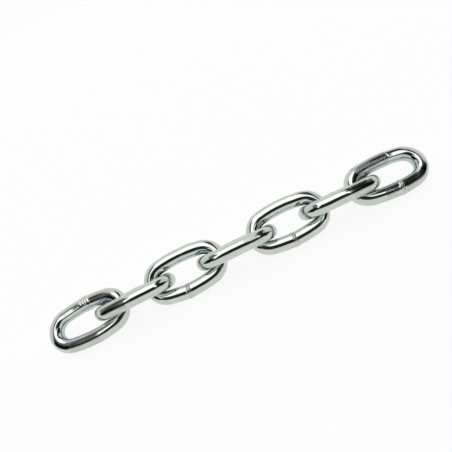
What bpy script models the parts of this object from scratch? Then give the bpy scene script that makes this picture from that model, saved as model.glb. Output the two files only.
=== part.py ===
"""A short length of welded short-link steel chain: seven links lying on a level floor.

Each link is one round steel bar, bent to a long oval and butt-welded at the middle of one leg.
The links pass through each other and lean alternately to the two sides, each with its lower leg
on the floor. Metres, +Z up, +X along the chain, origin on the floor under the middle.
"""

import math

import bpy
from mathutils import Vector

# The bar and the link, as such chain is specified: the bar's diameter, the inside length (which
# is the chain's pitch) and the outside width
BAR = 0.008
PITCH = 0.032
WIDTH = 0.028

# Radius of the bar's centre line round each end of the link, its bow
BOW_RADIUS = 0.009

# The weld: a low ring of upset metal round the bar
WELD_RISE = 0.00025
WELD_HALF_WIDTH = 0.0009

# How the chain lies. SLACK is how far each pair is pushed together from the stretched pitch.
# LEAN turns each link about the chain's line, from flat. The two end links lie flatter, and
# ride up on their neighbours: LIFT raises their inner ends, and SWING turns them in plan.
SLACK = (0.0039, 0.0016, 0.0012, 0.0012, 0.0010, 0.0037)
LEAN = (31, -38, 38, -38, 38, -38, 31)
LIFT = (-3, -1, 0, 0, 0, 1, 3)
SWING = (-1, 0, 0, 0, 0, 0, 1)

# The leg that holds each link's weld: 1 is the leg on the link's own +Y side, -1 the other
WELD_LEG = (1, 1, -1, 1, -1, 1, -1)

# Resolution: steps along a bow and along a leg, and the bevel, which gives the bar 16 sides
BOW_STEPS = 12
LEG_STEPS = 6
BEVEL_RESOLUTION = 6

COLLECTION = "steel_chain"
STEEL_COLOUR = (0.78, 0.80, 0.78, 1.0)
STEEL_ROUGHNESS = 0.22

# Half sizes of the bar's centre line
HALF_LENGTH = (PITCH + BAR) / 2
HALF_WIDTH = (WIDTH - BAR) / 2
BOW_CENTRE = HALF_LENGTH - BOW_RADIUS

# Each leg is a shallow arc that runs smoothly into the bows: its radius, and half its angle
LEG_RADIUS = (BOW_CENTRE**2 + HALF_WIDTH**2 - BOW_RADIUS**2) / (2 * (HALF_WIDTH - BOW_RADIUS))
LEG_ANGLE = math.atan2(BOW_CENTRE, LEG_RADIUS - HALF_WIDTH)


def clear_scene():
    """Removes every object that the file holds."""
    for thing in list(bpy.data.objects):
        bpy.data.objects.remove(thing, do_unlink=True)


def zinc_steel(name):
    """The bright zinc-plated steel of one link."""
    material = bpy.data.materials.new(name)
    material.use_nodes = True
    shader = material.node_tree.nodes["Principled BSDF"]
    shader.inputs["Base Color"].default_value = STEEL_COLOUR
    shader.inputs["Metallic"].default_value = 1.0
    shader.inputs["Roughness"].default_value = STEEL_ROUGHNESS
    return material


def leg_point(distance, side):
    """A point of a leg's centre line, a distance along it from its middle, towards side * +X."""
    angle = distance / LEG_RADIUS
    across = HALF_WIDTH - LEG_RADIUS + LEG_RADIUS * math.cos(angle)
    return Vector((side * LEG_RADIUS * math.sin(angle), side * across, 0.0))


def leg_distances(welded):
    """Where a leg has its points, as distances from its middle."""
    half = LEG_RADIUS * LEG_ANGLE
    places = [half * (2 * step / LEG_STEPS - 1) for step in range(LEG_STEPS)]
    if welded:
        ring = (-2 * WELD_HALF_WIDTH, -WELD_HALF_WIDTH, WELD_HALF_WIDTH, 2 * WELD_HALF_WIDTH)
        places = sorted(places + list(ring))
    return places


def weld_radius(distance):
    """The bar's radius near the weld, against the plain bar's: a cosine hump across the seam."""
    reach = abs(distance) / (2 * WELD_HALF_WIDTH)
    if reach >= 1:
        return 1.0
    return 1.0 + WELD_RISE / (BAR / 2) * (0.5 + 0.5 * math.cos(math.pi * reach))


def link_points(weld_leg):
    """The centre line of one link as points with a radius each, clockwise from the +Y leg."""
    points = []
    for side in (1, -1):
        welded = side == weld_leg
        for distance in leg_distances(welded):
            factor = weld_radius(distance) if welded else 1.0
            points.append((leg_point(distance, side), factor))
        for step in range(BOW_STEPS):
            angle = LEG_ANGLE + (math.pi - 2 * LEG_ANGLE) * step / BOW_STEPS
            along = BOW_CENTRE + BOW_RADIUS * math.sin(angle)
            across = BOW_RADIUS * math.cos(angle)
            points.append((Vector((side * along, side * across, 0.0)), 1.0))
    return points


def link_curve(name, weld_leg):
    """One link, as a closed tube along its centre line."""
    curve = bpy.data.curves.new(name, "CURVE")
    curve.dimensions = "3D"
    curve.bevel_depth = BAR / 2
    curve.bevel_resolution = BEVEL_RESOLUTION
    points = link_points(weld_leg)
    spline = curve.splines.new("POLY")
    spline.points.add(len(points) - 1)
    for point, (place, factor) in zip(spline.points, points):
        point.co = (*place, 1.0)
        point.radius = factor
    spline.use_cyclic_u = True
    spline.use_smooth = True
    curve.materials.append(zinc_steel(name + "_zinc"))
    return curve


def rest_on_floor(link):
    """Lowers or raises a link until the lowest point of its surface is on the floor."""
    bpy.context.view_layer.update()
    solid = link.evaluated_get(bpy.context.evaluated_depsgraph_get())
    mesh = solid.to_mesh()
    lowest = min((link.matrix_world @ vertex.co).z for vertex in mesh.vertices)
    solid.to_mesh_clear()
    link.location.z -= lowest


def link_places():
    """The links' middles along X, with the whole chain centred on the origin."""
    places = [0.0]
    for slack in SLACK:
        places.append(places[-1] + PITCH - slack)
    return [place - places[-1] / 2 for place in places]


def build_chain():
    """Makes the links, each turned and placed as it lies."""
    collection = bpy.data.collections.new(COLLECTION)
    bpy.context.scene.collection.children.link(collection)
    for index, along in enumerate(link_places()):
        name = f"link_{index + 1}"
        link = bpy.data.objects.new(name, link_curve(name, WELD_LEG[index]))
        collection.objects.link(link)
        turn = (LEAN[index], LIFT[index], SWING[index])
        link.rotation_euler = [math.radians(angle) for angle in turn]
        link.location.x = along
        rest_on_floor(link)


clear_scene()
build_chain()
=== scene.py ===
# %% [markdown]
# A short length of welded steel chain, bright zinc plated
#
# Seven links of round bar lie on a pale table and catch the light of a large soft lamp. The
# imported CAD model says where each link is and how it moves. This lesson puts a finer link in
# the place of each CAD link: a smooth bar bent to an oval, with the weld's rough ring, the small
# dents of handling, and a bright zinc skin that mirrors the studio around it.
#
# Everything is in metres, +Z up, +X along the chain.

# %% Load the frame
import math

import bpy
import numpy as np
from mathutils import Matrix


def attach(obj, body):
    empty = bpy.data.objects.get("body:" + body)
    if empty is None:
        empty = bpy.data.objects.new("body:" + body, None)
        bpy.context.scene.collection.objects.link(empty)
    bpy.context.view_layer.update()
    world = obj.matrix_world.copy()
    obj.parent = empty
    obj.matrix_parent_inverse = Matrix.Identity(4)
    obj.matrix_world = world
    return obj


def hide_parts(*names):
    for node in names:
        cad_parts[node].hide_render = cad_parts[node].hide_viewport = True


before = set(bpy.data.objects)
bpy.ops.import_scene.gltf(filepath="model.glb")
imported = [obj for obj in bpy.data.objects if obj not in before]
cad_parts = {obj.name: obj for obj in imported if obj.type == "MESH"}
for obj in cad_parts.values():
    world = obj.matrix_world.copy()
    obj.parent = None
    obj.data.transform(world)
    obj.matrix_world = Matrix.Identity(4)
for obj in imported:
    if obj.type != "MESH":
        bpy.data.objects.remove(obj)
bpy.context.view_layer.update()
MM = 0.001
LINKS = sorted(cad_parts)
print("links:", LINKS)

# %% [markdown]
# The camera
#
# The picture was taken from close by, from well above the table, with the camera tilted on its
# side so that the chain runs up the picture from left to right. The place of a camera is easiest
# to say as a point it looks at, a distance, a height angle and a tilt. The three directions of
# the camera (right, up, back) are the columns of its matrix.

# %% Camera
PICTURE_PIXELS = 452
FOCAL_PIXELS = 450.2
SENSOR_WIDTH = 36.0
CAMERA_TARGET = np.array([-0.54, 21.74, 10.0]) * MM
CAMERA_DISTANCE = 262 * MM
CAMERA_HEIGHT_ANGLE = math.radians(37.55)
CAMERA_TILT = math.radians(25.94)


def camera_matrix(target, distance, height_angle, tilt):
    """A camera's place: back points from the target to the camera, and right and up are the
    level directions turned about back by the tilt."""
    back = np.array([0.0, -math.cos(height_angle), math.sin(height_angle)])
    level_right = np.array([1.0, 0.0, 0.0])
    level_up = np.cross(back, level_right)
    right = math.cos(tilt) * level_right - math.sin(tilt) * level_up
    up = math.sin(tilt) * level_right + math.cos(tilt) * level_up
    matrix = np.eye(4)
    matrix[:3, :3] = np.column_stack([right, up, back])
    matrix[:3, 3] = target + distance * back
    return Matrix(matrix.tolist())


camera_data = bpy.data.cameras.new("camera")
camera_data.sensor_width = SENSOR_WIDTH
camera_data.lens = FOCAL_PIXELS / PICTURE_PIXELS * SENSOR_WIDTH
camera_data.clip_start = 0.01
camera = bpy.data.objects.new("camera", camera_data)
camera.matrix_world = camera_matrix(
    CAMERA_TARGET, CAMERA_DISTANCE, CAMERA_HEIGHT_ANGLE, CAMERA_TILT)
bpy.context.scene.collection.objects.link(camera)
bpy.context.scene.camera = camera
print("camera at", [round(value, 4) for value in camera.location], "lens", round(camera_data.lens, 2))

# %% [markdown]
# A surface from a grid
#
# Every shape here is a function of two numbers, worked out for a whole grid at once. One helper
# turns such a grid of points into a mesh. A direction of the grid may be open, like a sheet's
# edges, or closed, like the way round a bar, and then the last row is joined to the first, so
# no seam is left.

# %% Grid to mesh
def grid_faces(rows, columns, close_rows, close_columns):
    """The corner numbers of each four-sided face: point (i, j), the next along the rows, the one
    across, and the next along the columns, counted round where the grid is closed."""
    i = np.arange(rows if close_rows else rows - 1)
    j = np.arange(columns if close_columns else columns - 1)
    i, j = np.meshgrid(i, j, indexing="ij")
    next_i = (i + 1) % rows
    next_j = (j + 1) % columns
    corners = [i * columns + j, next_i * columns + j, next_i * columns + next_j, i * columns + next_j]
    return np.stack(corners, axis=-1).reshape(-1, 4)


def grid_mesh(name, points, close_rows=False, close_columns=False):
    """An object whose mesh has these grid points (rows, columns, 3), smooth shaded."""
    rows, columns, _ = points.shape
    mesh = bpy.data.meshes.new(name)
    faces = grid_faces(rows, columns, close_rows, close_columns)
    mesh.from_pydata(points.reshape(-1, 3).tolist(), [], faces.tolist())
    mesh.polygons.foreach_set("use_smooth", np.ones(len(faces), bool))
    mesh.update()
    piece = bpy.data.objects.new(name, mesh)
    bpy.context.scene.collection.objects.link(piece)
    return piece


# %% [markdown]
# The stage
#
# Bright metal has almost no colour of its own: what shows on it is the room. So the room comes
# before the metal. It starts with a pale table top that sweeps up into a backdrop. The table is
# lit from below, as for a catalogue picture, so that the chain casts almost no shadow on it.

# %% Table and backdrop
FLOOR_FRONT = -2.5
FLOOR_BACK = 1.1
BACKDROP_RADIUS = 0.5
BACKDROP_TOP = 1.6
FLOOR_SIDE = 2.5


def backdrop_profile(steps=24):
    """The (y, z) points of the sheet: flat, then a quarter circle, then upright."""
    angle = np.linspace(0.0, math.pi / 2, steps)
    bend_y = FLOOR_BACK + BACKDROP_RADIUS * np.sin(angle)
    bend_z = BACKDROP_RADIUS * (1 - np.cos(angle))
    y = np.concatenate([[FLOOR_FRONT], bend_y, [bend_y[-1]]])
    z = np.concatenate([[0.0], bend_z, [BACKDROP_TOP]])
    return y, z


def backdrop_points():
    """The profile drawn out sideways from -FLOOR_SIDE to FLOOR_SIDE."""
    y, z = backdrop_profile()
    x = np.array([-FLOOR_SIDE, FLOOR_SIDE])
    grid_x, grid_y = np.meshgrid(x, y, indexing="ij")
    grid_z = np.broadcast_to(z, grid_x.shape)
    return np.stack([grid_x, grid_y, grid_z], axis=-1)


backdrop = grid_mesh("backdrop", backdrop_points())
print("backdrop:", len(backdrop.data.polygons), "faces")

# %% Small helpers for shader nodes
def new_material(name):
    """A material with an empty node tree and its output node."""
    material = bpy.data.materials.new(name)
    material.use_nodes = True
    material.node_tree.nodes.clear()
    output = material.node_tree.nodes.new("ShaderNodeOutputMaterial")
    return material, material.node_tree, output


def add(tree, kind, **settings):
    """A new node of this kind, with some of its own settings."""
    node = tree.nodes.new("ShaderNode" + kind)
    for key, value in settings.items():
        setattr(node, key, value)
    return node


def feed(tree, socket, source):
    """Links an output to a socket, or writes a plain value into it."""
    if isinstance(source, bpy.types.NodeSocket):
        tree.links.new(source, socket)
    else:
        socket.default_value = source


def math_node(tree, operation, *inputs):
    """The result of one Math node."""
    node = add(tree, "Math", operation=operation)
    for socket, source in zip(node.inputs, inputs):
        feed(tree, socket, source)
    return node.outputs[0]


def times(tree, first, second):
    """The product of two values."""
    return math_node(tree, "MULTIPLY", first, second)


def total(tree, amounts, masks):
    """The sum of each amount times its mask."""
    result = None
    for amount, mask in zip(amounts, masks):
        product = times(tree, mask, amount)
        result = product if result is None else math_node(tree, "ADD", result, product)
    return result


# %% A light table
TABLE_COLOUR = (0.80, 0.81, 0.80, 1.0)
TABLE_GLOW_COLOUR = (1.0, 0.985, 0.955, 1.0)
TABLE_GLOW = 0.94
GLOW_SHARE = 0.80
WHITE = (1.0, 1.0, 1.0, 1.0)
GLOW_TO_CAMERA = 1.10


def glow_mix(tree, matt, colour, strength):
    """Matt paper of which GLOW_SHARE is its own light."""
    glow = add(tree, "Emission")
    glow.inputs["Color"].default_value = colour
    glow.inputs["Strength"].default_value = strength
    mix = add(tree, "MixShader")
    mix.inputs[0].default_value = GLOW_SHARE
    feed(tree, mix.inputs[1], matt.outputs[0])
    feed(tree, mix.inputs[2], glow.outputs[0])
    return mix


def light_table():
    """Translucent white plastic, lit mostly from below, so that only a light shadow shows. The
    camera sees it a little brighter than the metal does, as a catalogue's white page."""
    material, tree, output = new_material("light_table")
    matt = add(tree, "BsdfDiffuse")
    matt.inputs["Color"].default_value = TABLE_COLOUR
    in_metal = glow_mix(tree, matt, TABLE_GLOW_COLOUR, TABLE_GLOW)
    to_camera = glow_mix(tree, matt, WHITE, GLOW_TO_CAMERA)
    path = add(tree, "LightPath")
    mix = add(tree, "MixShader")
    feed(tree, mix.inputs[0], path.outputs["Is Camera Ray"])
    feed(tree, mix.inputs[1], in_metal.outputs[0])
    feed(tree, mix.inputs[2], to_camera.outputs[0])
    feed(tree, output.inputs["Surface"], mix.outputs[0])
    return material


backdrop.data.materials.append(light_table())

# %% Mixing by a smooth change
def ramp(tree, value, start, end):
    """A smooth change from 0 to 1 while the value goes from the start to the end."""
    node = add(tree, "MapRange", interpolation_type="SMOOTHSTEP")
    feed(tree, node.inputs["Value"], value)
    node.inputs["From Min"].default_value = start
    node.inputs["From Max"].default_value = end
    return node.outputs["Result"]


def mix_colour(tree, factor, first, second):
    """The first colour where the factor is 0 and the second where it is 1."""
    node = add(tree, "Mix", data_type="RGBA")
    sockets = [socket for socket in node.inputs if socket.type == "RGBA"]
    feed(tree, node.inputs["Factor"], factor)
    feed(tree, sockets[0], first)
    feed(tree, sockets[1], second)
    return [socket for socket in node.outputs if socket.type == "RGBA"][0]


# %% [markdown]
# The room, told in two angles
#
# What a round bar mirrors depends almost only on two angles of the direction looked in. The rise
# turns about the chain's line: 0 degrees is level to the front, 90 straight up, 180 level to the
# back. The aside leans from there towards the chain's right end, or to the left end below 0.
# One lamp could be placed for this, but it would have to hang far off, so that all seven links
# see it in the same place. The room is a function of the two angles instead. One large soft lamp
# hangs overhead, with its near edge drawn forward in a wing at each side, and narrower behind
# the wings. The dark in front of it gives each bar its black band. Low down and behind, the room
# is pale. The camera sees the empty room as an even near white.
#
# A change is told by the two values between which it happens. Angles are in degrees.

# %% Lamp, darkness and pale walls
LAMP_COLOUR = (1.60, 1.60, 1.57, 1.0)
LAMP_NEAR_EDGE = 62.0
LAMP_NEAR_FADE = 4.0
LAMP_WING = 19.0
LAMP_WING_AWAY = (13.0, 24.0)
LAMP_FAR_FADE = (124.0, 104.0)
LAMP_HALF_WIDTH = 25.6
LAMP_SIDE_FADE = 1.8
LAMP_NARROWER = 9.0
LAMP_NARROWER_RISE = (64.0, 80.0)

# The dark: in front, far to both sides, and beside the lamp on the left and on the right
ROOM_FRONT = (0.023, 0.022, 0.018, 1.0)
ROOM_CORNER = (0.009, 0.009, 0.008, 1.0)
ROOM_LEFT = (0.22, 0.22, 0.205, 1.0)
ROOM_RIGHT = (0.045, 0.045, 0.041, 1.0)
LEFT_TO_RIGHT = (-5.0, 5.0)
BESIDE_RISE = (56.0, 78.0)
BESIDE_AWAY = (17.0, 25.0)
CORNER_AWAY = (28.0, 37.0)

# The pale back wall starts at this rise, and to the sides later or sooner by these changes
ROOM_BACK = (0.775, 0.775, 0.745, 1.0)
WALL_RISE = 112.0
WALL_FADE = (-5.0, 9.0)
WALL_CHANGES = (28.0, -64.0, -33.0)
WALL_CHANGES_ASIDE = ((12.0, 20.0), (33.0, 40.0), (-31.0, -39.0))

# The pale low part: up to this height z of the direction, and less high far to both sides
ROOM_LOW = (0.83, 0.83, 0.79, 1.0)
LOW_HEIGHT = (0.20, 0.30)
LOW_DROP = 0.20
LOW_DROP_AWAY = (40.0, 50.0)
ROOM_TO_CAMERA = (0.97, 0.97, 0.97, 1.0)


def room_angles(tree):
    """Rise = the angle of (forward, up), aside = the angle whose sine is x, both in degrees, and
    the direction's own height z."""
    looked_in = add(tree, "TexCoord")
    parts = add(tree, "SeparateXYZ")
    feed(tree, parts.inputs[0], looked_in.outputs["Generated"])
    x, y, z = parts.outputs
    forward = times(tree, y, -1.0)
    rise = math_node(tree, "DEGREES", math_node(tree, "ARCTAN2", z, forward))
    aside = math_node(tree, "DEGREES", math_node(tree, "ARCSINE", x))
    return rise, aside, z


def lamp_mask(tree, rise, away):
    """1 on the lamp. Its near edge is drawn forward where the direction is well away to a side,
    and behind those two wings it is narrower."""
    wing = times(tree, ramp(tree, away, *LAMP_WING_AWAY), LAMP_WING)
    near_edge = math_node(tree, "SUBTRACT", LAMP_NEAR_EDGE, wing)
    past_edge = math_node(tree, "SUBTRACT", rise, near_edge)
    past_near = ramp(tree, past_edge, -LAMP_NEAR_FADE, LAMP_NEAR_FADE)
    before_far = ramp(tree, rise, *LAMP_FAR_FADE)
    narrower = times(tree, ramp(tree, rise, *LAMP_NARROWER_RISE), LAMP_NARROWER)
    beyond = math_node(tree, "SUBTRACT", math_node(tree, "ADD", away, narrower), LAMP_HALF_WIDTH)
    inside = ramp(tree, beyond, LAMP_SIDE_FADE, -LAMP_SIDE_FADE)
    return times(tree, times(tree, past_near, before_far), inside)


def walls(tree, rise, aside, away):
    """The room without the lamp: dark, a little less so beside the lamp, and pale behind. The pale
    wall starts at a rise that depends on the aside angle: it reaches round both sides."""
    side = mix_colour(tree, ramp(tree, aside, *LEFT_TO_RIGHT), ROOM_LEFT, ROOM_RIGHT)
    beside = times(tree, ramp(tree, rise, *BESIDE_RISE), ramp(tree, away, *BESIDE_AWAY))
    dark = mix_colour(tree, beside, ROOM_FRONT, side)
    dark = mix_colour(tree, ramp(tree, away, *CORNER_AWAY), dark, ROOM_CORNER)
    reached = [ramp(tree, aside, *ends) for ends in WALL_CHANGES_ASIDE]
    wall_from = math_node(tree, "ADD", total(tree, WALL_CHANGES, reached), WALL_RISE)
    past_wall = math_node(tree, "SUBTRACT", rise, wall_from)
    return mix_colour(tree, ramp(tree, past_wall, *WALL_FADE), dark, ROOM_BACK)


def studio_world():
    """The room and its lamp as the world: pale where the direction is low, the walls above that,
    and the lamp over both."""
    world = bpy.data.worlds.new("studio")
    world.use_nodes = True
    tree = world.node_tree
    tree.nodes.clear()
    rise, aside, height = room_angles(tree)
    away = math_node(tree, "ABSOLUTE", aside)
    drop = times(tree, ramp(tree, away, *LOW_DROP_AWAY), LOW_DROP)
    high = ramp(tree, math_node(tree, "ADD", height, drop), *LOW_HEIGHT)
    room = mix_colour(tree, high, ROOM_LOW, walls(tree, rise, aside, away))
    lit = mix_colour(tree, lamp_mask(tree, rise, away), room, LAMP_COLOUR)
    path = add(tree, "LightPath")
    seen = mix_colour(tree, path.outputs["Is Camera Ray"], lit, ROOM_TO_CAMERA)
    background = add(tree, "Background")
    feed(tree, background.inputs["Color"], seen)
    output = add(tree, "OutputWorld")
    feed(tree, output.inputs["Surface"], background.outputs[0])
    return world


bpy.context.scene.world = studio_world()
bpy.context.scene.view_settings.view_transform = "Standard"
print("room:", len(bpy.context.scene.world.node_tree.nodes), "nodes")

# %% [markdown]
# Where each link lies
#
# A link's CAD mesh says where it is, but not in which directions it points. Those are found the
# way one would find the balance of a real link: by how its mass is spread. The mesh is cut into
# thin pyramids from the origin to each triangle, and their masses add up to the middle and to
# the spread. The spread is greatest along the link and least across its plane.

# %% Middle and directions of a CAD link
def triangle_corners(thing):
    """The corners of all triangles of a mesh, as an array (triangles, 3 corners, 3)."""
    mesh = thing.data
    mesh.calc_loop_triangles()
    places = np.empty(len(mesh.vertices) * 3)
    mesh.vertices.foreach_get("co", places)
    numbers = np.empty(len(mesh.loop_triangles) * 3, int)
    mesh.loop_triangles.foreach_get("vertices", numbers)
    return places.reshape(-1, 3)[numbers].reshape(-1, 3, 3)


def link_place(name):
    """Middle and three directions (columns: along, across, out of its plane) of a CAD link.

    A pyramid from the origin to corners a, b, c has volume a.(b x c) / 6, its middle at
    (a + b + c) / 4, and spread volume / 20 times (aa + bb + cc + (a+b+c)(a+b+c))."""
    corners = triangle_corners(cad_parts[name])
    a, b, c = corners[:, 0], corners[:, 1], corners[:, 2]
    volume = np.einsum("ij,ij->i", a, np.cross(b, c)) / 6
    whole = volume.sum()
    summed = corners.sum(axis=1)
    middle = (volume[:, None] * summed).sum(axis=0) / 4 / whole
    squares = np.einsum("i,ikm,ikn->mn", volume, corners, corners)
    squares += np.einsum("i,im,in->mn", volume, summed, summed)
    spread = squares / 20 / whole - np.outer(middle, middle)
    _, directions = np.linalg.eigh(spread)
    along = directions[:, 2] * np.sign(directions[0, 2])
    across = directions[:, 1] * np.sign(directions[1, 1])
    return middle, np.column_stack([along, across, np.cross(along, across)])


PLACES = {name: link_place(name) for name in LINKS}
for name, (middle, directions) in PLACES.items():
    lean = math.degrees(math.atan2(directions[2, 1], directions[1, 1]))
    print(name, "middle", np.round(middle / MM, 2), "leans", round(lean, 1), "degrees")

# %% [markdown]
# The line of the bar
#
# A link is made from a straight bar, bent twice through half a turn. How sharply it bends at each
# place is its curvature, and adding that up along the bar gives the direction, and adding the
# directions gives the line. Building it this way lets the gentle legs run into the tight ends
# without a break, so that reflections slide round the link as they do on bent steel. At a weld
# the two ends of the bar never meet quite in line, so each link also has its own slight kinks.
# The two end links came out of the machine a little narrower than the rest.
#
# Places on a link are told in mm along the bar, from the middle of its +Y leg towards +X.

# %% Bar and link sizes
BAR_RADIUS = 4.0 * MM
HALF_LENGTH = 20.0 * MM
HALF_WIDTH = 10.0 * MM
BOW_RADIUS = 9.0 * MM
BOW_CENTRE = HALF_LENGTH - BOW_RADIUS
LEG_RADIUS = (BOW_CENTRE**2 + HALF_WIDTH**2 - BOW_RADIUS**2) / (2 * (HALF_WIDTH - BOW_RADIUS))
LEG_ANGLE = math.atan2(BOW_CENTRE, LEG_RADIUS - HALF_WIDTH)
HALF_LEG = LEG_RADIUS * LEG_ANGLE
BOW_LENGTH = BOW_RADIUS * (math.pi - 2 * LEG_ANGLE)
LINE_LENGTH = 4 * HALF_LEG + 2 * BOW_LENGTH
BEND_EASE = 4.0 * MM
KINK_REACH = 0.6 * MM
print("bar length of a link:", round(LINE_LENGTH / MM, 1), "mm, a leg", round(2 * HALF_LEG / MM, 1))


def smooth_step(value):
    """0 below 0, 1 above 1, and 3v^2 - 2v^3 between."""
    value = np.clip(value, 0.0, 1.0)
    return value * value * (3 - 2 * value)


def short_way(distance):
    """A distance along the closed bar, counted the short way round: -half to +half its length."""
    return (distance + LINE_LENGTH / 2) % LINE_LENGTH - LINE_LENGTH / 2


def kink_turn(distance, place, size):
    """How far a kink turns the line: a smooth step of this size at its place, less an even turn
    over the whole leg, so that both ends of the leg keep their direction."""
    leg_middle = 0.0 if abs(short_way(place)) < HALF_LEG else LINE_LENGTH / 2
    on_leg = short_way(distance - leg_middle)
    sudden = 0.5 + 0.5 * np.tanh((on_leg - short_way(place - leg_middle)) / KINK_REACH)
    even = np.clip(on_leg / (2 * HALF_LEG) + 0.5, 0.0, 1.0)
    return size * (sudden - even)


def link_line(kinks, leg_lines, samples=4001):
    """The centre line from the middle of the +Y leg all round: distance, x, y and direction.

    Curvature is 1 / LEG_RADIUS on the legs and 1 / BOW_RADIUS on the bows, eased over BEND_EASE.
    Its running sum, and the kinks, are the direction, and the running sums of the direction's
    cosine and sine are x and y, brought to the link's length and to the y of its two legs."""
    distance = np.linspace(0.0, LINE_LENGTH, samples)
    ease = distance[None, :] - np.array([[HALF_LEG], [3 * HALF_LEG + BOW_LENGTH]])
    rising = smooth_step(ease / BEND_EASE + 0.5)
    falling = smooth_step((ease - BOW_LENGTH) / BEND_EASE + 0.5)
    bow = (rising - falling).sum(axis=0)
    curvature = 1 / LEG_RADIUS + (1 / BOW_RADIUS - 1 / LEG_RADIUS) * bow
    step = distance[1]
    direction = np.concatenate([[0.0], np.cumsum((curvature[1:] + curvature[:-1]) / 2 * step)])
    direction *= -2 * math.pi / direction[-1]
    for place, size in kinks:
        direction -= kink_turn(distance, place * MM, math.radians(size))
    halfway = (direction[1:] + direction[:-1]) / 2
    x = np.concatenate([[0.0], np.cumsum(np.cos(halfway) * step)])
    y = np.concatenate([[0.0], np.cumsum(np.sin(halfway) * step)])
    x -= distance / LINE_LENGTH * x[-1]
    y -= distance / LINE_LENGTH * y[-1]
    x = (x - (x.max() + x.min()) / 2) * 2 * HALF_LENGTH / np.ptp(x)
    upper, lower = leg_lines
    y = lower + (y - y.min()) * (upper - lower) / np.ptp(y)
    return distance, x, y, direction


# %% [markdown]
# The surface of the bar
#
# The bar is round, but not perfect. Seen in its mirror skin are the slight flats that the drawing
# die left along it, shallow dents from the barrel the chain was tumbled in, and at the weld low
# rings where the two ends of the bar were pressed together hot, with a few sharp beads of metal.
# All of them are small changes of the radius, as a function of the distance along the bar and
# the angle round it.

# %% Rings of the grid
FINE_REACH = 4.0 * MM
FINE_RINGS = 44
COARSE_RINGS = 280
SIDES = 88


def ring_distances():
    """How far past the weld the rings of points are: close together near the weld."""
    middle = np.linspace(FINE_REACH, LINE_LENGTH - FINE_REACH, COARSE_RINGS, endpoint=False)
    first = np.linspace(0.0, FINE_REACH, FINE_RINGS, endpoint=False)
    last = np.linspace(LINE_LENGTH - FINE_REACH, LINE_LENGTH, FINE_RINGS, endpoint=False)
    return np.concatenate([first, middle, last])


# %% Flats from drawing
FLAT_DEPTH = 0.035 * MM
FLAT_WAVES = (2, 3, 4, 5)
WAVE_SIZE = (0.4, 1.0)
WAVE_TOTAL = 1.6


def ring_wave(angle, random, waves):
    """A wavy line round the bar, about -1 to 1: sines with these whole numbers of waves."""
    number = np.array(waves)
    phase = random.uniform(0.0, 2 * math.pi, len(waves))
    size = random.uniform(*WAVE_SIZE, len(waves)) / np.sqrt(number)
    return (size * np.sin(number * angle[..., None] + phase)).sum(axis=-1) / WAVE_TOTAL


# %% Dents of handling
DENT_COUNT = 130
DENT_SIZE = (0.9 * MM, 3.0 * MM)
DENT_LONGER = (1.0, 2.2)
DENT_DEPTH = 0.066 * MM


def bell(value):
    """A round hump: e to the minus value squared."""
    return np.exp(-value * value)


def round_bar(angle, turn):
    """The way round the bar from one angle to another, the short way, as a length."""
    return ((angle - turn + math.pi) % (2 * math.pi) - math.pi) * BAR_RADIUS


def dents(place, angle, random):
    """Changes of the radius by shallow dents and rises, each a bell as wide as its size and a
    little longer than wide, at a random place."""
    change = np.zeros(np.broadcast_shapes(place.shape, angle.shape))
    size = random.uniform(*DENT_SIZE, DENT_COUNT)
    longer = random.uniform(*DENT_LONGER, DENT_COUNT)
    depth = random.normal(0.0, DENT_DEPTH, DENT_COUNT) * size / DENT_SIZE[1]
    dent_place = random.uniform(0.0, LINE_LENGTH, DENT_COUNT)
    turn = random.uniform(-math.pi, math.pi, DENT_COUNT)
    for dent in range(DENT_COUNT):
        along = bell(short_way(place - dent_place[dent]) / (size[dent] * longer[dent]))
        across = bell(round_bar(angle, turn[dent]) / size[dent])
        change = change + depth[dent] * along * across
    return change


# %% What each link's weld looks like
class Weld:
    """The place of a link's weld along the bar in mm, its ridges as (place, height, half width)
    in mm, its swelling as (height, half width) in mm, and how many beads it has."""

    def __init__(self, place, ridges, swelling, beads):
        self.place = place
        self.ridges = ridges
        self.swelling = swelling
        self.beads = beads


PAIR_OF_RIDGES = [(-0.62, 0.28, 0.24), (0.58, 0.26, 0.26)]
STACK_OF_RIDGES = [
    (-2.6, 0.16, 0.50), (-1.2, 0.30, 0.55), (0.3, 0.36, 0.60), (1.7, 0.22, 0.45)]
SMALL_SWELLING = (0.10, 1.3)
WELDS = {
    1: Weld(2.0, STACK_OF_RIDGES, (0.08, 2.4), 7),
    2: Weld(0.0, PAIR_OF_RIDGES, SMALL_SWELLING, 4),
    3: Weld(52.4, PAIR_OF_RIDGES, SMALL_SWELLING, 5),
    4: Weld(0.0, PAIR_OF_RIDGES, SMALL_SWELLING, 4),
    5: Weld(51.4, PAIR_OF_RIDGES, SMALL_SWELLING, 5),
    6: Weld(0.0, PAIR_OF_RIDGES, SMALL_SWELLING, 4),
    7: Weld(47.4, PAIR_OF_RIDGES, (0.10, 1.6), 9),
}
RIDGE_WAVES = range(1, 7)
RIDGE_WANDER = 0.30 * MM
RIDGE_EVEN_SHARE = 0.70
RIDGE_UNEVEN_SHARE = 0.45
BEAD_SPREAD = 0.6 * MM
BEAD_SIZE = (0.22, 0.42)
BEAD_HEIGHT = 0.8


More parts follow.
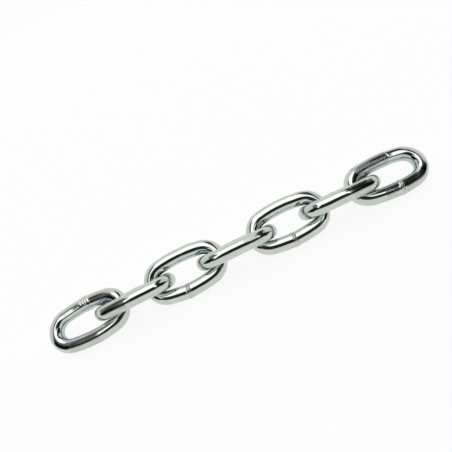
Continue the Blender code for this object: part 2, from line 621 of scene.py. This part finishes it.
def weld_shape(from_weld, angle, weld, random):
    """Changes of the radius at the weld: a wide low swelling, ridges that wander a little and
    rise and fall on their way round, and sharp beads."""
    height, half_width = weld.swelling
    change = height * MM * bell(from_weld / (half_width * MM))
    for place, height, half_width in weld.ridges:
        wander = RIDGE_WANDER * ring_wave(angle, random, RIDGE_WAVES)
        uneven = RIDGE_UNEVEN_SHARE * ring_wave(angle, random, RIDGE_WAVES)
        rise = height * MM * (RIDGE_EVEN_SHARE + uneven)
        change = change + rise * bell((from_weld - place * MM - wander) / (half_width * MM))
    turn = random.uniform(-math.pi, math.pi, weld.beads)
    place = random.normal(0.0, BEAD_SPREAD, weld.beads)
    size = random.uniform(*BEAD_SIZE, weld.beads) * MM
    for bead in range(weld.beads):
        far = np.hypot(from_weld - place[bead], round_bar(angle, turn[bead]))
        change = change + BEAD_HEIGHT * size[bead] * bell(far / size[bead])
    return change


# %% [markdown]
# One link
#
# The bar is carried along its line: at each distance, a ring of points stands square to the line.
# The points are then turned and moved to where the CAD link lies. Some links also show where a
# clamp of the machine gripped them: a stretch of one leg with scuffs, which may be pressed a little
# flat or end in a fine cut round the bar, and whose colour is also painted darker as painted shade.
# On some legs a stretch of the colour is painted nearly black, as painted shade where the leg
# mirrors the dark room, and the inner side of the bar is painted darker and bluer as painted shade,
# most of all in the bows. A leg can also dip out of the link's plane at a seam, and inside each bow
# is a shallow seat that the next link rubbed. Each face corner keeps its place on the unbent bar, so
# that the marks of drawing run along the bar and round the bends with it, and some numbers that the
# finish depends on: how far it is from the weld, how much scuffing and painted shade it has, and
# whether it is in a bow.

# %% Kinks, clamp marks, painted shade and cuts of each link
# Places are in mm along the bar. Angles round the bar are in degrees: 0 faces outwards, 90 down.

# The y of the centre lines of the two legs
EVEN_LEGS = (HALF_WIDTH, -HALF_WIDTH)
LEG_LINES = {1: (9.70 * MM, -9.60 * MM), 7: (9.85 * MM, -9.35 * MM)}

# Kinks in the link's plane, and dips out of it, as (place, degrees)
KINKS = {
    1: [(2.0, 4.0), (48.0, 2.5)],
    3: [(52.4, 5.0)],
    4: [(51.0, 1.5)],
    5: [(51.4, 3.0)],
    6: [(48.0, 2.0)],
    7: [(5.0, 4.0), (47.4, 3.0)],
}
DIPS = {1: [(2.0, 2.0), (48.0, -1.2)], 7: [(5.0, 2.0), (49.0, -2.4)]}

# Where the clamp pressed the bar flat, as (start, end, angle)
PRESSED = {1: (-15.0, -3.4, -98.0), 7: (6.4, 14.5, -98.0)}
PRESSED_DEPTH = 0.14 * MM
PRESSED_EDGE = 6.0 * MM
STEEPEST_COSINE = 0.5

# Scuffs, which also get painted shade in their colour, as (start, end, strength), and stretches of
# painted shade, nearly black where a leg mirrors the dark room, as (start, end, angle, strength)
# Scuffs: real roughness and streaks, with painted shade in their duller colour
SCUFFS_AND_SHADE = {
    1: [(4.8, 16.0, 0.40), (46.6, 64.0, 0.35)],
    2: [(53.5, 64.0, 0.45)],
    6: [(37.0, 46.5, 0.35)],
    7: [(-15.0, 5.0, 0.9), (33.0, 46.2, 0.35), (49.6, 57.0, 0.40)],
}
# Painted shade: stretches painted nearly black where a leg mirrors the dark room
SHADE_PATCHES = {
    1: [(5.2, 18.0, -98.0, 0.75), (47.0, 63.0, -82.0, 0.50)],
    2: [(53.2, 66.0, -13.0, 0.80)],
    4: [(35.0, 46.3, -13.0, 0.40)],
    6: [(35.0, 47.0, -13.0, 0.95)],
    7: [(31.0, 45.6, -82.0, 0.85), (49.4, 57.0, -82.0, 0.70)],
}

# Fine cuts round the bar as (place, depth in mm)
CUTS = {4: [(46.5, 0.05)], 6: [(47.0, 0.04)], 7: [(5.2, 0.10)]}
CUT_HALF_WIDTH = 0.32 * MM
SEAT_DEPTH = 0.11 * MM
SEAT_EDGE = 5.0 * MM
SEED = 40


def cuts(place, number):
    """Changes of the radius by fine cuts round the bar, each a narrow bell of its depth."""
    change = np.zeros_like(place)
    for cut_place, depth in CUTS.get(number, []):
        change -= depth * MM * bell(short_way(place - cut_place * MM) / CUT_HALF_WIDTH)
    return change


def stretch(place, start, end, edge):
    """1 from start to end along the bar and 0 elsewhere, changing smoothly over an edge."""
    beyond = np.abs(short_way(place - (start + end) / 2)) - (end - start) / 2
    return smooth_step(0.5 - beyond / edge)


def pressed(place, angle, number):
    """Change of the radius where the clamp pressed one side flat: the flat lies a depth below the
    round bar, so it is at (radius - depth) / cos(angle from its middle), where that is less."""
    if number not in PRESSED:
        return 0.0
    start, end, middle = PRESSED[number]
    depth = PRESSED_DEPTH * stretch(place, start * MM, end * MM, PRESSED_EDGE)
    from_middle = np.cos(angle - math.radians(middle))
    flat = (BAR_RADIUS - depth) / np.maximum(from_middle, STEEPEST_COSINE)
    return np.minimum(flat - BAR_RADIUS, 0.0)


def in_bows(place, edge):
    """1 in the right bow and 1 in the left bow, 0 on the legs, given for each bow."""
    reach = HALF_LEG + BOW_LENGTH
    right = stretch(place, HALF_LEG, reach, edge)
    left = stretch(place, -reach, -HALF_LEG, edge)
    return right, left


def seated(place, angle):
    """Change of the radius where the next link rubs: minus SEAT_DEPTH times the fourth power of
    -cos(angle), the share of the inner side, all along each bow."""
    right, left = in_bows(place, SEAT_EDGE)
    return -SEAT_DEPTH * (right + left) * np.maximum(-np.cos(angle), 0.0) ** 4


def dip(place, number):
    """How far the line dips out of the link's plane: at a seam the two halves of a leg meet at
    a small angle, so the height is the running sum of half that angle, up to the seam and
    down again, gone at the leg's ends."""
    height = np.zeros_like(place)
    for seam, size in DIPS.get(number, []):
        leg_middle = 0.0 if abs(short_way(seam * MM)) < HALF_LEG else LINE_LENGTH / 2
        on_leg = short_way(place - leg_middle)
        seam_on_leg = short_way(seam * MM - leg_middle)
        reach = np.where(on_leg < seam_on_leg, seam_on_leg + HALF_LEG, HALF_LEG - seam_on_leg)
        share = 1 - np.hypot(on_leg - seam_on_leg, KINK_REACH) / reach
        bump_height = math.tan(math.radians(size / 2)) * HALF_LEG
        height -= bump_height * np.maximum(share, 0.0)
    return height


def bar_points(number):
    """The surface of one link about its own middle: centre line plus radius times the ring's
    direction, cos(angle) outwards in the plane and sin(angle) down through it."""
    random = np.random.default_rng(SEED + number)
    weld = WELDS[number]
    distance, line_x, line_y, direction = link_line(
        KINKS.get(number, []), LEG_LINES.get(number, EVEN_LEGS))
    from_weld = short_way(ring_distances())[:, None]
    place = (from_weld + weld.place * MM) % LINE_LENGTH
    x = np.interp(place, distance, line_x)
    y = np.interp(place, distance, line_y)
    heading = np.interp(place, distance, direction)
    angle = np.linspace(0.0, 2 * math.pi, SIDES, endpoint=False)[None, :]
    radius = BAR_RADIUS + dents(place, angle, random) + cuts(place, number)
    radius = radius + FLAT_DEPTH * ring_wave(angle, random, FLAT_WAVES)
    radius = radius + pressed(place, angle, number) + seated(place, angle)
    radius = radius + weld_shape(from_weld, angle, weld, random)
    outward = radius * np.cos(angle)
    points_x = x - outward * np.sin(heading)
    points_y = y + outward * np.cos(heading)
    points_z = dip(place, number) - radius * np.sin(angle)
    return np.stack([points_x, points_y, points_z], axis=-1)


# %% What the finish and its painted shade need to know
SCUFF_EDGE = 0.45 * MM
PATCH_REACH = math.radians(26.0)
PATCH_EDGE = math.radians(9.0)
BEND_EDGE = 7.0 * MM
# The painted shade on the inner side: how much on the legs, and how it rises round the bar
INNER_SHADE_ON_LEGS = 0.4
INNER_SHADE_STEEPNESS = 1.6
INNER_SHADE_START = 0.2
LINKS_APART = 0.25


def scuffing_and_shade(place, number):
    """How much scuffing the bar has at a place, 0 to 1; the same amount also paints shade into the
    colour there.
    """
    amount = np.zeros_like(place)
    for start, end, strength in SCUFFS_AND_SHADE.get(number, []):
        amount = np.maximum(amount, strength * stretch(place, start * MM, end * MM, SCUFF_EDGE))
    return amount


def painted_shade(place, angle, number):
    """How much painted shade the bar has at a place and an angle, 0 to 1, dark where a leg mirrors
    the dark room: each patch is a stretch of the bar and PATCH_REACH of angle to each side of the
    patch's middle."""
    amount = np.zeros(place.shape)
    for start, end, middle, strength in SHADE_PATCHES.get(number, []):
        on_stretch = stretch(place, start * MM, end * MM, SCUFF_EDGE)
        off_middle = np.abs(round_bar(angle, math.radians(middle))) / BAR_RADIUS
        on_side = smooth_step((PATCH_REACH - off_middle) / PATCH_EDGE + 0.5)
        amount = np.maximum(amount, strength * on_stretch * on_side)
    return amount


def painted_inner_shade(angle, right, left):
    """How much painted shade, bluish, the inner side of the bar gets, 0 to 1: on the inner side
    only, where -cos(angle) is above 0, and less of it on the legs than in the bows."""
    along = INNER_SHADE_ON_LEGS + (1 - INNER_SHADE_ON_LEGS) * np.maximum(right, left)
    return along * smooth_step(INNER_SHADE_STEEPNESS * -np.cos(angle) - INNER_SHADE_START)


def closed_corners(values):
    """For rings closed on themselves: each face corner's value, from values with one row and one
    column more than the grid, so that the last faces read the full length and the full turn."""
    parts = [values[:-1, :-1], values[1:, :-1], values[1:, 1:], values[:-1, 1:]]
    return np.stack(parts, axis=2).reshape(-1, *values.shape[2:])


def write_corners(piece, name, *numbers):
    """Keeps three numbers for each face corner under a name."""
    values = closed_corners(np.stack(numbers, axis=-1))
    attribute = piece.data.attributes.new(name, "FLOAT_VECTOR", "CORNER")
    attribute.data.foreach_set("vector", values.ravel())


def mark_bar(piece, number):
    """Writes to each face corner its place on the unbent bar, a flat map of the bar, and the
    numbers that the finish and its painted shade depend on."""
    along = np.append(ring_distances(), LINE_LENGTH)[:, None]
    turn = np.linspace(0.0, 1.0, SIDES + 1)[None, :]
    along, turn = np.broadcast_arrays(along, turn)
    angle = 2 * math.pi * turn
    round_y = BAR_RADIUS * np.cos(angle)
    round_z = BAR_RADIUS * np.sin(angle)
    write_corners(piece, "bar_place", along + LINKS_APART * number, round_y, round_z)
    from_weld = np.where(along > LINE_LENGTH / 2, along - LINE_LENGTH, along)
    place = along + WELDS[number].place * MM
    right, left = in_bows(place, BEND_EDGE)
    inner_shade = painted_inner_shade(angle, right, left)
    write_corners(piece, "weld_scuffs_and_shade", from_weld / MM, scuffing_and_shade(place, number), inner_shade)
    write_corners(piece, "shade_and_bows", painted_shade(place, angle, number), right, left)
    flat_map = piece.data.uv_layers.new(name="bar_map")
    flat = np.stack([along / LINE_LENGTH, turn], axis=-1)
    flat_map.data.foreach_set("uv", closed_corners(flat).ravel())


# %% Make the links
def make_link(name):
    """One finished link, in its place on the table."""
    number = int(name.split("_")[1])
    middle, directions = PLACES[name]
    points = bar_points(number) @ directions.T + middle
    piece = grid_mesh("chain_" + name, points, close_rows=True, close_columns=True)
    mark_bar(piece, number)
    return piece


pieces = {name: make_link(name) for name in LINKS}
for name, piece in pieces.items():
    corners = triangle_corners(piece)
    volume = np.einsum("ij,ij->i", corners[:, 0], np.cross(corners[:, 1], corners[:, 2])).sum() / 6
    print(piece.name, len(corners), "triangles,", round(volume / MM**3), "cubic mm")

# %% [markdown]
# Bright zinc
#
# The zinc is a thin bright skin on drawn steel: a clear mirror with a cool green-grey tint,
# blurred a little by the lines of drawing, which run along the bar. The inner side of the bar,
# most of all inside the bows, is painted darker and bluer: painted shade with a bluish tint of
# reflected light. Where clamps gripped the bar it has scuffs and is streaky and rougher, and its
# colour there is painted a duller grey, in places blue, as painted shade. Some stretches are
# painted nearly black as painted shade, where the leg mirrors the dark room. On the weld the zinc
# took less well and is a little brown.

# %% Noise along the bar
# Each is (share along the bar, scale, detail)
CLOUDS = (0.5, 260.0, 2.0)
DRAWN_LINES = (0.03, 2600.0, 3.0)
STREAKS = (0.12, 900.0, 2.0)
SPECKLE = (1.0, 2600.0, 2.0)


def bar_noise(tree, along_share, scale, detail):
    """Noise on the unbent bar, drawn out along it where the share is below 1, from 0 to 1."""
    place = add(tree, "Attribute", attribute_name="bar_place")
    draw_out = add(tree, "Mapping")
    draw_out.inputs["Scale"].default_value = (along_share, 1.0, 1.0)
    feed(tree, draw_out.inputs["Vector"], place.outputs["Vector"])
    noise = add(tree, "TexNoise")
    noise.inputs["Scale"].default_value = scale
    noise.inputs["Detail"].default_value = detail
    feed(tree, noise.inputs["Vector"], draw_out.outputs["Vector"])
    return noise.outputs["Fac"]


# %% The zinc skin
ZINC_COLOUR = (0.61, 0.69, 0.655, 1.0)
ZINC_LIGHT = (0.69, 0.73, 0.70, 1.0)
# Bluish painted shade for the inner side, also the blue in the scuffs
SHADE_BLUE = (0.45, 0.55, 0.63, 1.0)
# Duller grey of the scuffs, painted shade
DULL_SHADE = (0.36, 0.37, 0.35, 1.0)
# Nearly black colour of the painted shade patches
SHADE_DARK = (0.070, 0.075, 0.063, 1.0)
WELD_BROWN = (0.62, 0.61, 0.55, 1.0)
LIGHT_IN_CLOUDS = (0.35, 0.70)

# Where the scuffs and the painted shade in them break up, turn blue or stay dull
SCUFF_AND_SHADE_IN_STREAKS = (0.30, 0.62)
BLUE_IN_CLOUDS = (0.50, 0.62)
DULL_SHARE = 0.8
BLUE_SHARE = 0.6

# The painted shade patches, the painted shade of the inner side and the weld's brown, which reaches
# this far in mm
SHADE_IN_STREAKS = (0.90, 0.50)
INNER_SHADE_IN_CLOUDS = (0.38, 0.58)
INNER_SHADE_SHARE = 0.75
WELD_REACH = (2.6, 1.2)
WELD_UNEVEN = 1.6
WELD_SHARE = 0.7

# Added roughness of a painted shade patch, a bow, the scuffs, the weld and the clouds, and the
# heights of the drawn lines, the streaks, the lines and the speckle of the scuffs, and the speckle
# of the weld
MIRROR_ROUGHNESS = 0.075
ROUGHER = (0.05, 0.02, 0.28, 0.10, 0.03)
RELIEF = 0.003 * MM
RELIEF_SHARES = (1.0, 4.0, 5.0, 6.0, 5.0)


def corner_numbers(tree, name):
    """The three numbers that the face corners keep under a name."""
    kept = add(tree, "Attribute", attribute_name=name)
    numbers = add(tree, "SeparateXYZ")
    feed(tree, numbers.inputs[0], kept.outputs["Vector"])
    return numbers.outputs


def bright_zinc():
    """The finish of all the links, with its painted shade."""
    material, tree, output = new_material("bright_zinc")
    shader = add(tree, "BsdfPrincipled")
    shader.inputs["Metallic"].default_value = 1.0
    from_weld, scuff_and_shade, inner_side_shade = corner_numbers(tree, "weld_scuffs_and_shade")
    patch, right_bow, left_bow = corner_numbers(tree, "shade_and_bows")
    bow = math_node(tree, "ADD", right_bow, left_bow)

    cloud = bar_noise(tree, *CLOUDS)
    lines = bar_noise(tree, *DRAWN_LINES)
    streaks = bar_noise(tree, *STREAKS)
    speckle = bar_noise(tree, *SPECKLE)

    # Scuffs: rougher and streaky, and their colour painted duller as painted shade
    worn_and_shaded = times(tree, scuff_and_shade, ramp(tree, streaks, *SCUFF_AND_SHADE_IN_STREAKS))
    blue = times(tree, worn_and_shaded, ramp(tree, cloud, *BLUE_IN_CLOUDS))
    # Painted shade: nearly black stretches where a leg mirrors the dark room
    dark = times(tree, patch, ramp(tree, streaks, *SHADE_IN_STREAKS))
    # Painted shade with a bluish tint on the inner side, most in the bows
    inner_shade = times(tree, inner_side_shade, ramp(tree, cloud, *INNER_SHADE_IN_CLOUDS))
    reach = math_node(tree, "ABSOLUTE", from_weld)
    reach = math_node(tree, "ADD", reach, times(tree, speckle, WELD_UNEVEN))
    at_weld = ramp(tree, reach, *WELD_REACH)

    colour = mix_colour(tree, ramp(tree, cloud, *LIGHT_IN_CLOUDS), ZINC_COLOUR, ZINC_LIGHT)
    layers = [
        (times(tree, worn_and_shaded, DULL_SHARE), DULL_SHADE),
        (times(tree, blue, BLUE_SHARE), SHADE_BLUE),
        (dark, SHADE_DARK),
        (times(tree, inner_shade, INNER_SHADE_SHARE), SHADE_BLUE),
        (times(tree, at_weld, WELD_SHARE), WELD_BROWN),
    ]
    for share, layer_colour in layers:
        colour = mix_colour(tree, share, colour, layer_colour)
    feed(tree, shader.inputs["Base Color"], colour)

    rough = total(tree, ROUGHER, (patch, bow, worn_and_shaded, at_weld, cloud))
    feed(tree, shader.inputs["Roughness"], math_node(tree, "ADD", rough, MIRROR_ROUGHNESS))

    reliefs = (lines, streaks, times(tree, lines, scuff_and_shade), times(tree, speckle, scuff_and_shade),
               times(tree, speckle, at_weld))
    bump = add(tree, "Bump")
    bump.inputs["Strength"].default_value = 1.0
    bump.inputs["Distance"].default_value = RELIEF
    feed(tree, bump.inputs["Height"], total(tree, RELIEF_SHARES, reliefs))
    feed(tree, shader.inputs["Normal"], bump.outputs["Normal"])
    feed(tree, output.inputs["Surface"], shader.outputs[0])
    return material


zinc = bright_zinc()
for name, piece in pieces.items():
    piece.data.materials.append(zinc)
    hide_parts(name)
    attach(piece, name)
